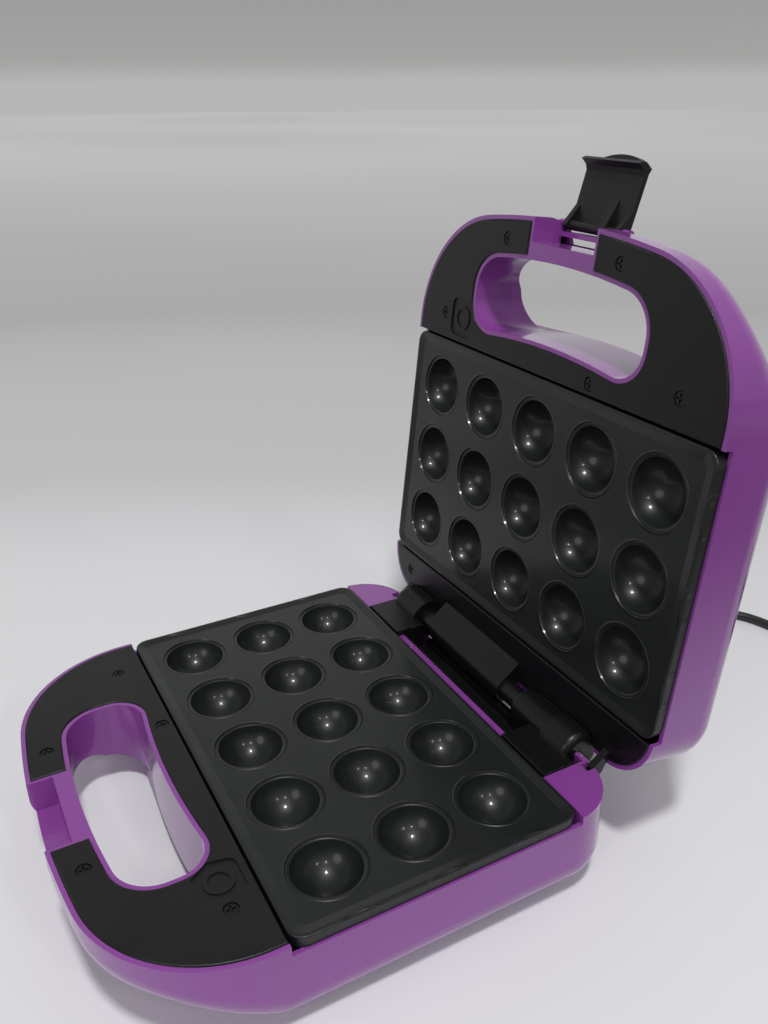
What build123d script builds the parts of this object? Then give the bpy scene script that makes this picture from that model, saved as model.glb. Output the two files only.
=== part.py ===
from build123d import *
import math
import os

os.makedirs("parts", exist_ok=True)

# A snack maker for fifteen round bites: a base and a lid from like mouldings, hinged at the rear, each with
# a cooking plate, and a latch at the front. Millimetres. It is drawn about the middle of the base's cooking
# face, with X along the hinge, Y from the handle to the hinge and Z up, and moved at export so that the
# origin is on the table under the middle of the open machine.

# Casing, seen from above
half_width = 112.5
rear_y = 91.4
front_y = -137.4
front_crown_radius = 457.0
front_round = 62.0
rear_round = 26.0

# Casing, seen from the side
depth = 43.0
front_depth = 24.0
ramp_back_y = -72.0
ramp_front_y = -104.0
ramp_round = 20.0
bottom_round = 16.0
wall = 2.0
rim_z = 0.3
low_rim_z = -4.5

# Cooking plate
plate_half_x = 111.5
plate_half_y = 66.0
plate_corner = 7.0
plate_web = 3.0
plate_skirt = 4.2
plate_skirt_wall = 2.5
border_height = 0.8
border_flat = 1.6
border_slope = 4.0

# Cavities, one half of a ball each
columns = 5
rows = 3
pitch_x = 42.0
pitch_y = 39.84
cavity_radius = 15.0
ring_radius = 16.95
ring_depth = 0.8
ring_draft = 0.4
cup_wall = 2.2
cup_slope = 30.0

# Gap between the two cooking faces when the machine is closed
face_gap = 2.6

# Hinge
hinge_y = 93.4
hinge_z = -3.4
open_angle = 96.5
knuckle_radius = 11.5
knuckle_round = 4.0
left_knuckle_out = -83.0
left_knuckle_in = -59.0
right_knuckle_in = 60.0
right_knuckle_out = 78.0
sleeve_radius = 9.0
sleeve_in = 34.0
spigot_radius = 5.5
spigot_length = 22.0
spigot_bore = 3.6
tube_radius = 7.0
tube_right_end = 19.5
hinge_pin_radius = 1.6
running_gap = 0.06
part_gap = 0.3
hinge_pin_grip = 12.0
hinge_pin_hole = 14.0
lug_in = 86.5
lug_thickness = 3.6
lug_radius = 3.4
lug_skin = 1.0
lug_root_y = 84.5
lug_room = 0.6
lug_slot_front = 7.8
lug_slot_below = 0.8

# Hinge moulding on the base: blocks beside the well, and the trough that lines the well
block_front_y = 67.4
block_rear_y = 85.0
block_out = 84.0
block_in = 51.0
block_top = 0.3
block_bottom = -14.0
block_round = 0.8
well_front_y = 71.8
well_wall = 3.0
well_top = -3.0
trough_top = -4.0
trough_floor = -15.0
trough_wall = 2.0
trough_lean = 1.0
trough_lip_top = -11.2
rear_wall_top = -13.0
sleeve_round = 1.2

# Ears of the base at the two rear corners
ear_gap = 0.9
ear_top = -0.5
ear_wall = 2.0
ear_bottom = -16.0
lug_block_front = 9.6
lug_block_bottom = -12.0
lug_block_wall = 2.5

# The lid's rear strip: pockets over the knuckles, and the web from the strip to the hinge tube
pocket_wall = 1.8
pocket_height = 40.0
pocket_step = 0.5
web_front_y = 79.0
web_touch_y = 88.3
web_touch_z = -8.2
web_rear_y = 91.0
web_rear_z = -1.0

# Handle opening
opening_half_x = 61.5
opening_front_y = -118.1
opening_rear_y = -77.6
opening_front_radius = 352.0
opening_rear_radius = 245.0
opening_front_round = 18.0
opening_rear_round = 12.5
lining = 2.0

# Seat that the plates and the covers share
plate_gap = 0.6

# Covers
cover_top = 1.0
cover_thickness = 2.5
fit_gap = 0.1
seam_y = -67.0
seam_gap = 0.2
cover_edge = 0.8
cover_flange_inset = 9.0
cover_flange_depth = 8.0
cover_flange = 1.0
badge_x = 71.0
badge_y = -80.0
badge_side = 19.0
badge_corner = 4.0
badge_depth = 0.8
badge_ring_out = 6.5
badge_ring_in = 4.5
badge_ring_height = 0.6

# Bridge at the middle of the handle, with the latch's recess
bridge_half_x = 23.5
recess_half_x = 22.0
recess_y = -125.6
base_recess_depth = 15.5
lid_recess_depth = 13.2
catch_top = 4.6
catch_height = 6.0
slot_half_x = 20.0
slot_width = 3.6

# Latch, from its pivot: reach is along the plate when it is flipped out, rise is square to it
latch_y = -134.4
latch_h = 23.0
latch_half_x = 19.0
latch_barrel = 2.3
latch_pin_radius = 1.0
latch_thickness = 2.2
latch_root_reach = 2.4
latch_root_rise = 2.0
latch_length = 27.7
latch_rise = 6.5
hook_reach = 29.6
hook_drop = 1.9
hook_back_reach = 30.5
hook_back_rise = 4.0
bend_reach = 29.8
bend_rise = 6.9
tab_reach = 32.6
tab_rise = 10.0
tab_thickness = 1.6
tab_crown = 39.0
latch_seat = 4.8
latch_boss = 2.4
gusset_thickness = 3.0
gusset_length = 10.2
gusset_drop = 3.9
middle_gusset_x = 6.5
middle_gusset_thickness = 5.0
middle_gusset_length = 15.5
middle_gusset_drop = 3.2

# Screws
screw_radius = 1.5
screw_hole = 1.6
head_radius = 2.8
head_height = 1.3
head_gap = 0.4
boss_radius = 3.8
cover_screw_length = 10.0
cover_screws = [(39.9, -124.8), (-39.9, -124.8), (86.2, -80.3), (-86.2, -80.3), (-33.9, -72.1)]
rear_screw_x = 92.0
rear_screw_y = 77.0
plate_post_x = 94.0
plate_post_y = 57.5
plate_post_radius = 3.5
plate_post_bore = 8.0
access_radius = 3.6
plate_head_z = -34.0
seat_ring = 0.6
recess_wide = 1.4
cross_width = 1.0
cross_depth = 0.6

# Heater and reflector
heater_radius = 3.3
heater_z = -11.6
heater_end_x = -98.0
heater_pin_radius = 1.2
heater_pin_length = 7.0
heater_gap = 0.2
heater_rib = 3.0
heater_hole_gap = 1.0
reflector_half_x = 108.5
reflector_half_y = 62.5
reflector_floor_z = -20.4
reflector_thickness = 0.8
reflector_rim_z = -6.5
reflector_round = 8.0

# Parts inside
thermostat_radius = 8.0
thermostat_height = 9.0
thermostat_x = 21.0
thermostat_flange = (26.0, 10.0, 0.5)
thermostat_tab = (0.8, 6.0, 7.0)
thermostat_tab_x = 4.5
fuse_radius = 2.4
fuse_length = 26.0
fuse_x = -40.0
fuse_y = 12.0
fuse_round = 0.8
terminal_x = -35.0
terminal_y = 50.0
terminal_size = (28.0, 16.0, 11.0)
terminal_pitch = 8.2
terminal_screw_radius = 2.0
terminal_screw_depth = 6.0
terminal_wire_radius = 1.6
leads_radius = 3.2
leads_overlap = 4.0

# Feet
foot_radius = 7.5
foot_height = 4.0
foot_recess = 1.2
foot_x = 80.0
foot_front_y = -50.0
foot_rear_y = 67.0
foot_chamfer = 0.8

# Lamps in the lid's top
lens_radius = 4.5
lens_flange = 6.0
lens_x = 11.0
lens_y = -60.0
lens_proud = 0.8
lens_round = 0.7
lens_flange_thickness = 1.2
lamp_radius = 3.2
lamp_length = 13.0
lamp_round = 1.5

# Cord
cord_diameter = 5.6
cord_x = -35.0
cord_z = -23.0
relief_length = 30.0
relief_radius = 4.7
relief_tip_radius = 3.6
relief_flange = 5.8
relief_flange_thickness = 2.0
relief_gap = 0.2
relief_slots = 4
relief_slot_first = 7.0
relief_slot_step = 5.5
relief_slot_width = 2.0
relief_slot_wall = 0.8
relief_spine = 0.8

# Coil of the spare cord, its tie and the plug
coil_radius = 37.0
coil_pitch = 6.4
coil_rise = 6.3
coil_layer_turns = 2
coil_turns = 4.25
coil_tail = 26.0
tie_thickness = 0.8
tie_width = 6.0
tie_room = 0.4
plug_sleeve = 22.0
plug_sleeve_tip = 3.8
plug_sleeve_base = 6.0
plug_length = 32.0
plug_width = 34.0
plug_rear_width = 20.0
plug_rear_half_height = 8.0
plug_half_height = 10.0
plug_rear_corner = 5.0
plug_corner = 6.0
plug_overlap = 2.0
plug_pin_spacing = 19.0
plug_pin_radius = 2.4
plug_pin_length = 19.0
plug_pin_round = 1.4

# What follows from these
half_gap = face_gap / 2
floor_z = -depth - foot_height
cup_radius = math.hypot(cavity_radius, half_gap + ring_depth)
cup_outer = cup_radius + cup_wall
cover_bottom = cover_top - cover_thickness
cover_inset = wall + fit_gap
lid_face_z = face_gap - cover_top
lid_back_z = lid_face_z + cover_thickness
pivot_z = hinge_z + latch_h
pin_end_x = lug_in + lug_thickness - lug_skin
bed_z = floor_z + cord_diameter / 2
relief_end = rear_y + relief_length

# Cord: chosen points from the strain relief to the start of the coil
cord_route = [
    (cord_x, relief_end, cord_z),
    (cord_x, relief_end + 24, cord_z),
    (cord_x - 3, relief_end + 50, cord_z - 8),
    (cord_x - 9, relief_end + 76, cord_z - 16),
    (cord_x - 13, relief_end + 102, bed_z),
    (cord_x - 11, relief_end + 134, bed_z),
    (cord_x - 2, relief_end + 165, bed_z),
    (cord_x + 14, relief_end + 190, bed_z),
    (cord_x + 40, relief_end + 200, bed_z),
    (cord_x + 68, relief_end + 197, bed_z + 0.6),
    (cord_x + 94, relief_end + 190, bed_z + 1.3),
]


def box(x0, x1, y0, y1, z0, z1):
    middle = ((x0 + x1) / 2, (y0 + y1) / 2, (z0 + z1) / 2)
    return Pos(*middle) * Box(x1 - x0, y1 - y0, z1 - z0)


def rod_x(x0, x1, y, z, radius):
    return Pos((x0 + x1) / 2, y, z) * Rot(0, 90, 0) * Cylinder(radius, x1 - x0)


def rod_y(x, y0, y1, z, radius):
    return Pos(x, (y0 + y1) / 2, z) * Rot(90, 0, 0) * Cylinder(radius, y1 - y0)


def rod_z(x, y, z0, z1, radius):
    return Pos(x, y, (z0 + z1) / 2) * Cylinder(radius, z1 - z0)


def side_prism(face, x0, x1):
    return Pos(x0, 0, 0) * extrude(Plane.YZ * face, amount=x1 - x0)


def polygon(*points):
    return make_face(Polyline(*points, close=True))


def arc(centre, radius, start, end):
    def at(angle):
        return (centre[0] + radius * math.cos(angle), centre[1] + radius * math.sin(angle))
    return ThreePointArc(at(start), at((start + end) / 2), at(end))


def outline(inset):
    """The casing seen from above, drawn in by an inset."""
    crown_y = front_y + front_crown_radius
    crown = front_crown_radius - inset
    corner_x = half_width - front_round
    corner_y = crown_y - math.sqrt((front_crown_radius - front_round) ** 2 - corner_x ** 2)
    tilt = math.atan2(corner_y - crown_y, corner_x)
    rear_x = half_width - rear_round
    rear_corner_y = rear_y - rear_round
    side = half_width - inset
    back = rear_y - inset
    edges = [
        arc((0, crown_y), crown, -math.pi - tilt, tilt),
        arc((corner_x, corner_y), front_round - inset, tilt, 0),
        Line((side, corner_y), (side, rear_corner_y)),
        arc((rear_x, rear_corner_y), rear_round - inset, 0, math.pi / 2),
        Line((rear_x, back), (-rear_x, back)),
        arc((-rear_x, rear_corner_y), rear_round - inset, math.pi / 2, math.pi),
        Line((-side, rear_corner_y), (-side, corner_y)),
        arc((-corner_x, corner_y), front_round - inset, math.pi, math.pi - tilt),
    ]
    return make_face(Wire(edges))


def column(face, z0, z1):
    return Pos(0, 0, z0) * extrude(face, amount=z1 - z0)


def moulding(inset, top):
    """The casing's outer form, or with an inset the space inside it."""
    floor = inset - depth
    front_floor = inset - front_depth
    far = 20.0
    profile = polygon(
        (rear_y + far, top),
        (rear_y + far, floor),
        (ramp_back_y, floor),
        (ramp_front_y, front_floor),
        (front_y - far, front_floor),
        (front_y - far, top),
    )
    bends = [v for v in profile.vertices() if v.X in (ramp_back_y, ramp_front_y)]
    profile = fillet(bends, ramp_round)
    plan = outline(inset)
    solid = column(plan, floor - 1, top) & side_prism(profile, -half_width, half_width)
    border = plan.face().outer_wire()
    lower = []
    for edge in solid.edges():
        middle = edge @ 0.5
        upright = abs((edge % 0.5).Z) > 0.9
        at_border = border.distance_to(Vector(middle.X, middle.Y, 0)) < 0.05
        if middle.Z < front_floor + 5 and at_border and not upright:
            lower.append(edge)
    return fillet(lower, bottom_round - inset)


def opening(grow):
    """The handle opening seen from above, grown by an offset."""
    front_corner = opening_front_y + opening_front_radius
    front_corner -= math.sqrt(opening_front_radius ** 2 - opening_half_x ** 2)
    rear_corner = opening_rear_y - opening_rear_radius
    rear_corner += math.sqrt(opening_rear_radius ** 2 - opening_half_x ** 2)
    half = opening_half_x
    front = ThreePointArc((-half, front_corner), (0, opening_front_y), (half, front_corner))
    rear = ThreePointArc((half, rear_corner), (0, opening_rear_y), (-half, rear_corner))
    right = Line((half, front_corner), (half, rear_corner))
    left = Line((-half, rear_corner), (-half, front_corner))
    face = make_face(Wire([front, right, rear, left]))
    corners = face.vertices()
    face = fillet([v for v in corners if v.Y < (front_corner + rear_corner) / 2], opening_front_round)
    rear_corners = [v for v in face.vertices() if abs(v.X) > half - 1 and abs(v.Y - rear_corner) < 1]
    face = fillet(rear_corners, opening_rear_round)
    if grow:
        face = offset(face, grow)
    return face


def opening_column(grow):
    return column(opening(grow), -depth - 1, cover_top + 5)


def screw_bosses():
    bosses = Part()
    for x, y in cover_screws:
        bosses += rod_z(x, y, -depth, cover_bottom, boss_radius)
    return bosses


def plate_posts():
    """Places of the four posts that carry a plate and its reflector."""
    return [(x, y) for x in (-plate_post_x, plate_post_x) for y in (-plate_post_y, plate_post_y)]


def half_casing(recess_depth):
    """What the two casings share: shell, handle opening, bridge, recess and bosses."""
    outer = moulding(0, rim_z)
    inside = moulding(wall, rim_z + 5)
    inside -= opening_column(lining)
    shelf = box(-bridge_half_x, bridge_half_x, recess_y, opening_front_y, -wall, rim_z + 5)
    tray = box(-bridge_half_x, bridge_half_x, front_y - 5, recess_y + wall, -recess_depth - wall, rim_z + 5)
    inside -= shelf + tray
    inside -= screw_bosses()
    reflector_seat = reflector_floor_z - reflector_thickness
    for x, y in plate_posts():
        inside -= rod_z(x, y, -depth, reflector_seat, boss_radius + seat_ring)
    above_seats = box(-half_width, half_width, seam_y, rear_y, reflector_seat, rim_z + 6)
    shell = outer - inside
    shell -= above_seats & moulding(wall, rim_z + 5)
    shell -= opening_column(0)
    shell -= box(-recess_half_x, recess_half_x, front_y - 5, recess_y, -recess_depth, rim_z + 5)
    shell -= box(-half_width - 1, half_width + 1, seam_y, plate_half_y + plate_gap, low_rim_z, rim_z + 1)
    for x, y in cover_screws:
        shell -= rod_z(x, y, cover_bottom - cover_screw_length, cover_bottom + 1, screw_hole)
    for x, y in plate_posts():
        shell -= rod_z(x, y, -depth - 1, plate_head_z, access_radius)
        shell -= rod_z(x, y, plate_head_z - 1, reflector_seat + 1, screw_hole)
    return shell


def handle_cover():
    """The black cover round the handle opening, open at the bridge."""
    plan = outline(cover_inset)
    cover = column(plan, cover_bottom, cover_top)
    cover -= box(-half_width, half_width, seam_y - seam_gap, rear_y, cover_bottom - 1, cover_top + 1)
    cover -= column(opening(lining + fit_gap), cover_bottom - 1, cover_top + 1)
    bridge_gap = bridge_half_x + fit_gap
    cover -= box(-bridge_gap, bridge_gap, front_y, opening_front_y + 12, cover_bottom - 1, cover_top + 1)
    top_edges = [e for e in cover.edges() if abs(e.bounding_box().min.Z - cover_top) < 0.01]
    cover = fillet(top_edges, cover_edge)
    flange_x = half_width - cover_flange_inset
    seam = seam_y - seam_gap
    cover += box(-flange_x, flange_x, seam - cover_flange, seam, -cover_flange_depth, cover_bottom)
    for x, y in cover_screws:
        cover -= rod_z(x, y, cover_top - head_height - head_gap, cover_top + 1, head_radius + head_gap)
        cover -= rod_z(x, y, cover_bottom - 1, cover_top, screw_hole)
    cover -= badge_recess()
    return cover


def badge_recess():
    """A shallow rounded square with a raised ring, moulded in each handle cover."""
    floor = cover_top - badge_depth
    square = RectangleRounded(badge_side, badge_side, badge_corner)
    recess = Pos(badge_x, badge_y, floor) * extrude(square, amount=2)
    ring = rod_z(badge_x, badge_y, floor, floor + badge_ring_height, badge_ring_out)
    ring -= rod_z(badge_x, badge_y, floor - 1, cover_top, badge_ring_in)
    return recess - ring


def screws(places, top, length):
    """Cross-head screws driven from above."""
    group = Part()
    for x, y in places:
        screw = rod_z(x, y, top - head_height, top, head_radius)
        screw += rod_z(x, y, top - length, top - head_height / 2, screw_radius)
        arm = head_radius - recess_wide / 2
        for reach_x, reach_y in ((arm, cross_width / 2), (cross_width / 2, arm)):
            screw -= box(x - reach_x, x + reach_x, y - reach_y, y + reach_y, top - cross_depth, top + 1)
        group += screw
    return group


def cavity_centres():
    return GridLocations(pitch_x, pitch_y, columns, rows)


def cup_tool():
    """The space of one cavity: the ring step at the face, then the half ball below it."""
    ring_floor = -ring_depth
    half_ball = polygon(
        (0, 2),
        (ring_radius, 2),
        (ring_radius, 0),
        (ring_radius - ring_draft, ring_floor),
        (0, ring_floor),
    )
    step = revolve(Plane.XZ * half_ball, axis=Axis.Z)
    ball = Pos(0, 0, half_gap) * Sphere(cup_radius)
    return step + (ball & box(-20, 20, -20, 20, -30, ring_floor + 0.1))


def cup_outside():
    """The drafted boss under a cavity, which clears the half ball by the cup's wall."""
    slope = math.radians(cup_slope)
    top = -plate_web / 2
    bottom = half_gap - cup_outer

    def radius_at(z):
        return (cup_outer + (z - half_gap) * math.sin(slope)) / math.cos(slope)

    return Pos(0, 0, (bottom + top) / 2) * Cone(radius_at(bottom), radius_at(top), top - bottom)


def cooking_plate():
    """One cast plate: raised border, skirt, fifteen cups, heater ribs and screw posts."""
    size = (2 * plate_half_x, 2 * plate_half_y)
    plan = RectangleRounded(size[0], size[1], plate_corner)
    plate = column(plan, -plate_skirt, border_height)
    upper = [e for e in plate.edges() if abs(e.bounding_box().min.Z - border_height) < 0.01]
    plate = fillet(upper, 0.7)
    flat = 2 * border_flat
    slope = 2 * (border_flat + border_slope)
    mouth_corner = plate_corner - border_flat
    mouth = RectangleRounded(size[0] - flat, size[1] - flat, mouth_corner)
    bed = RectangleRounded(size[0] - slope, size[1] - slope, mouth_corner - border_slope / 2)
    plate -= loft([bed, Pos(0, 0, border_height) * mouth])
    inner = (size[0] - 2 * plate_skirt_wall, size[1] - 2 * plate_skirt_wall)
    under = RectangleRounded(inner[0], inner[1], plate_corner - plate_skirt_wall)
    plate -= column(under, -plate_skirt - 1, -plate_web)
    for place in cavity_centres():
        plate += place * cup_outside()
    for side in (-1, 1):
        y = side * pitch_y / 2
        rib_bottom = heater_z + heater_radius + heater_gap
        reach = (columns - 1) / 2 * pitch_x
        plate += box(-reach, reach, y - heater_rib / 2, y + heater_rib / 2, rib_bottom, -plate_web / 2)
    for x, y in plate_posts():
        plate += rod_z(x, y, reflector_floor_z, -plate_web / 2, plate_post_radius)
    for place in cavity_centres():
        plate -= place * cup_tool()
    for x, y in plate_posts():
        plate -= rod_z(x, y, reflector_floor_z - 1, reflector_floor_z + plate_post_bore, screw_hole)
    return plate


def heater():
    """A sheathed heating tube: out along one side of the middle row, round, and back."""
    y = pitch_y / 2
    turn_x = (columns - 1) / 2 * pitch_x
    run_out = Line((heater_end_x, -y, heater_z), (turn_x, -y, heater_z))
    turn = ThreePointArc((turn_x, -y, heater_z), (turn_x + y, 0, heater_z), (turn_x, y, heater_z))
    run_back = Line((turn_x, y, heater_z), (heater_end_x, y, heater_z))
    start = Plane(origin=(heater_end_x, -y, heater_z), z_dir=(1, 0, 0))
    tube = sweep(start * Circle(heater_radius), path=Wire([run_out, turn, run_back]))
    for side in (-y, y):
        tube += rod_x(heater_end_x - heater_pin_length, heater_end_x, side, heater_z, heater_pin_radius)
    return tube


def reflector():
    """A thin pressed tray behind the heater."""
    outer_size = (2 * reflector_half_x, 2 * reflector_half_y)
    t = reflector_thickness
    outer = RectangleRounded(outer_size[0], outer_size[1], reflector_round)
    inner = RectangleRounded(outer_size[0] - 2 * t, outer_size[1] - 2 * t, reflector_round - t)
    tray = column(outer, reflector_floor_z - t, reflector_rim_z)
    tray -= column(inner, reflector_floor_z, reflector_rim_z + 1)
    for x, y in plate_posts():
        tray -= rod_z(x, y, reflector_floor_z - 2, reflector_floor_z + 1, screw_hole)
    for side in (-1, 1):
        y = side * pitch_y / 2
        hole = heater_radius + heater_hole_gap
        tray -= rod_x(-reflector_half_x - 1, -reflector_half_x + 3, y, heater_z, hole)
    return tray


def plate_screws():
    """Four long screws from below, through casing and reflector into the plate's posts."""
    group = Part()
    tip = reflector_floor_z + plate_post_bore - 1
    for x, y in plate_posts():
        screw = rod_z(x, y, plate_head_z - head_height, plate_head_z, head_radius)
        screw += rod_z(x, y, plate_head_z - 0.5, tip, screw_radius)
        group += screw
    return group


def feet_places():
    return [(x, y) for x in (-foot_x, foot_x) for y in (foot_front_y, foot_rear_y)]


def hinge_cut(grow):
    """Room for the base's knuckles and sleeve, grown by a gap."""
    cut = rod_x(left_knuckle_out - grow, left_knuckle_in + grow, hinge_y, hinge_z, knuckle_radius + grow)
    cut += rod_x(right_knuckle_in - grow, right_knuckle_out + grow, hinge_y, hinge_z, knuckle_radius + grow)
    cut += rod_x(sleeve_in - grow, right_knuckle_in, hinge_y, hinge_z, sleeve_radius + grow)
    return cut


def base_casing():
    casing = half_casing(base_recess_depth)
    catch_bottom = -catch_top - catch_height
    casing -= box(-slot_half_x, slot_half_x, recess_y - 1, recess_y + wall + 1, catch_bottom, -catch_top)
    ear_x = block_out + part_gap
    form = moulding(0, ear_top)
    ear_front = plate_half_y + ear_gap
    for side in (-1, 1):
        x0, x1 = sorted((side * ear_x, side * half_width))
        ear = box(x0, x1, ear_front, rear_y, ear_bottom, ear_top)
        x0, x1 = sorted((side * (ear_x + ear_wall), side * (half_width - wall)))
        ear -= box(x0, x1, ear_front + ear_wall, rear_y - wall, ear_bottom - 1, ear_top - ear_wall)
        x0, x1 = sorted((side * ear_x, side * (lug_in + lug_thickness + lug_block_wall)))
        ear += box(x0, x1, hinge_y - lug_block_front, rear_y, lug_block_bottom, ear_top)
        casing += ear & form
        x0, x1 = sorted((side * (lug_in - lug_room), side * (lug_in + lug_thickness + lug_room)))
        slot_floor = hinge_z - lug_radius - lug_slot_below
        casing -= box(x0, x1, hinge_y - lug_slot_front, rear_y + 1, slot_floor, 2)
    casing -= box(-half_width, half_width, plate_half_y + plate_gap, rear_y + 1, ear_top, 5)
    cross = box(-block_in, block_in, well_front_y - well_wall, well_front_y, -depth + 1, well_top)
    casing += cross & moulding(1, rim_z)
    casing -= hinge_cut(part_gap)
    knuckles_top = box(left_knuckle_out - part_gap, left_knuckle_in, block_rear_y, rear_y + 1, hinge_z, 5)
    knuckles_top += box(right_knuckle_in, right_knuckle_out + part_gap, block_rear_y, rear_y + 1, hinge_z, 5)
    casing -= knuckles_top
    casing -= box(left_knuckle_in, right_knuckle_in, rear_y - wall - 1, rear_y + 1, rear_wall_top, 5)
    for x, y in feet_places():
        casing -= rod_z(x, y, -depth - 1, foot_recess - depth, foot_radius + fit_gap)
    casing -= rod_y(cord_x, rear_y - 5, rear_y + 5, cord_z, relief_radius + fit_gap)
    return casing


def hinge_bracket():
    """The black hinge moulding: two blocks, knuckles, sleeve and spigots, and the trough between."""
    left = box(-block_out, -block_in, block_front_y, block_rear_y, block_bottom, block_top)
    right = box(block_in, block_out, block_front_y, block_rear_y, block_bottom, block_top)
    bracket = left + right
    front_edges = [e for e in bracket.edges() if abs(e.bounding_box().min.Z - block_top) < 0.01]
    bracket = fillet(front_edges, block_round)
    left_knuckle = rod_x(left_knuckle_out, left_knuckle_in, hinge_y, hinge_z, knuckle_radius)
    left_knuckle = fillet(left_knuckle.edges().group_by(Axis.X)[0], knuckle_round)
    right_knuckle = rod_x(right_knuckle_in, right_knuckle_out, hinge_y, hinge_z, knuckle_radius)
    right_knuckle = fillet(right_knuckle.edges().group_by(Axis.X)[-1], knuckle_round)
    sleeve = rod_x(sleeve_in, right_knuckle_in, hinge_y, hinge_z, sleeve_radius)
    sleeve = fillet(sleeve.edges().group_by(Axis.X)[0], sleeve_round)
    bracket += left_knuckle + right_knuckle + sleeve
    bracket += rod_x(left_knuckle_in, left_knuckle_in + spigot_length / 2, hinge_y, hinge_z, spigot_radius)
    bracket += rod_x(sleeve_in - spigot_length, sleeve_in, hinge_y, hinge_z, spigot_radius)
    front = well_front_y + fit_gap
    rear = rear_y - wall - fit_gap
    under = trough_floor - trough_wall
    lip_bottom = rear_wall_top + fit_gap
    trough = polygon(
        (front, trough_top),
        (front + trough_lean, under),
        (rear, under),
        (rear, lip_bottom),
        (rear_y, lip_bottom),
        (rear_y, trough_lip_top),
        (rear - trough_wall, trough_lip_top),
        (rear - trough_wall, trough_floor),
        (front + trough_lean + trough_wall, trough_floor),
        (front + trough_wall, trough_top),
    )
    bracket += side_prism(trough, -block_in, block_in)
    pin_hole = hinge_pin_radius + running_gap
    bracket -= rod_x(left_knuckle_out - 1, left_knuckle_out + hinge_pin_hole, hinge_y, hinge_z, pin_hole)
    bracket -= rod_x(right_knuckle_out - hinge_pin_hole, right_knuckle_out + 1, hinge_y, hinge_z, pin_hole)
    bracket -= rod_x(sleeve_in - spigot_length - 1, right_knuckle_in, hinge_y, hinge_z, spigot_bore)
    bracket -= rod_x(left_knuckle_in - 6, left_knuckle_in + spigot_length, hinge_y, hinge_z, spigot_bore)
    return bracket


def flip(shape):
    """From a half drawn face up to the lid's place above the closed base."""
    return Pos(0, 0, half_gap) * Rot(0, 180, 0) * Pos(0, 0, -half_gap) * shape


def open_lid(shape):
    """From the closed machine to the photographed one."""
    return Pos(0, hinge_y, hinge_z) * Rot(-open_angle, 0, 0) * Pos(0, -hinge_y, -hinge_z) * shape


def lid_casing():
    """Drawn closed above the base."""
    half = half_casing(lid_recess_depth)
    slot_y = recess_y - slot_width
    half -= box(-slot_half_x, slot_half_x, slot_y, recess_y + 0.01, -depth, 1)
    for side in (-1, 1):
        half -= rod_z(side * lens_x, lens_y, -depth - 1, wall + 1 - depth, lens_radius + fit_gap)
    casing = flip(half)
    for side in (-1, 1):
        x0, x1 = sorted((side * (latch_half_x + part_gap), side * bridge_half_x))
        casing += rod_x(x0, x1, latch_y, pivot_z, latch_boss)
    seat = latch_half_x + part_gap
    casing -= rod_x(-seat, seat, latch_y, pivot_z, latch_seat)
    casing -= rod_x(-bridge_half_x, bridge_half_x, latch_y, pivot_z, latch_pin_radius)
    casing -= hinge_cut(part_gap + pocket_wall + fit_gap)
    casing -= rod_x(left_knuckle_in, tube_right_end + 1, hinge_y, hinge_z, tube_radius + part_gap)
    for side in (-1, 1):
        x = side * rear_screw_x
        casing += rod_z(x, rear_screw_y, lid_back_z, face_gap + depth - 1, boss_radius)
        casing -= rod_z(x, rear_screw_y, lid_back_z - 1, lid_back_z + cover_screw_length, screw_hole)
    return casing


def lid_rear_cover():
    """The lid's black rear strip with its lobes, knuckle pockets, hinge tube and pin lugs, drawn closed."""
    plan = outline(cover_inset)
    rear = rear_y - cover_inset
    cover = column(plan, lid_face_z, lid_back_z)
    front = plate_half_y + ear_gap
    cover -= box(-half_width, half_width, front_y, front, lid_face_z - 1, lid_back_z + 1)
    lower = [e for e in cover.edges() if abs(e.bounding_box().max.Z - lid_face_z) < 0.01]
    cover = fillet(lower, cover_edge)
    pocket = hinge_cut(part_gap + pocket_wall)
    cover += pocket & box(-half_width, half_width, front + 1, rear, lid_face_z + pocket_step, pocket_height)
    cover += rod_x(left_knuckle_in + part_gap, tube_right_end, hinge_y, hinge_z, tube_radius)
    web = polygon(
        (web_front_y, lid_face_z),
        (web_touch_y, web_touch_z),
        (web_rear_y, web_rear_z),
        (rear, lid_face_z),
        (rear, lid_back_z),
        (web_front_y, lid_back_z),
    )
    cover += side_prism(web, part_gap - block_in, tube_right_end)
    cover -= hinge_cut(part_gap)
    bore = spigot_radius + running_gap
    cover -= rod_x(left_knuckle_in, tube_right_end + 1, hinge_y, hinge_z, bore)
    lug_arm = polygon(
        (lug_root_y, lid_face_z + 0.1),
        (rear, lid_face_z + 0.1),
        (hinge_y, hinge_z + lug_radius),
        (hinge_y - 0.76 * lug_radius, hinge_z - 0.65 * lug_radius),
    )
    for side in (-1, 1):
        x0, x1 = sorted((side * lug_in, side * (lug_in + lug_thickness)))
        cover += rod_x(x0, x1, hinge_y, hinge_z, lug_radius) + side_prism(lug_arm, x0, x1)
        x0, x1 = sorted((side * (lug_in - 1), side * pin_end_x))
        cover -= rod_x(x0, x1, hinge_y, hinge_z, hinge_pin_radius)
        x = side * rear_screw_x
        sunk = lid_face_z + head_height + head_gap
        cover -= rod_z(x, rear_screw_y, lid_face_z - 1, sunk, head_radius + head_gap)
        cover -= rod_z(x, rear_screw_y, lid_face_z, lid_back_z + 1, screw_hole)
    return cover


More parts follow.
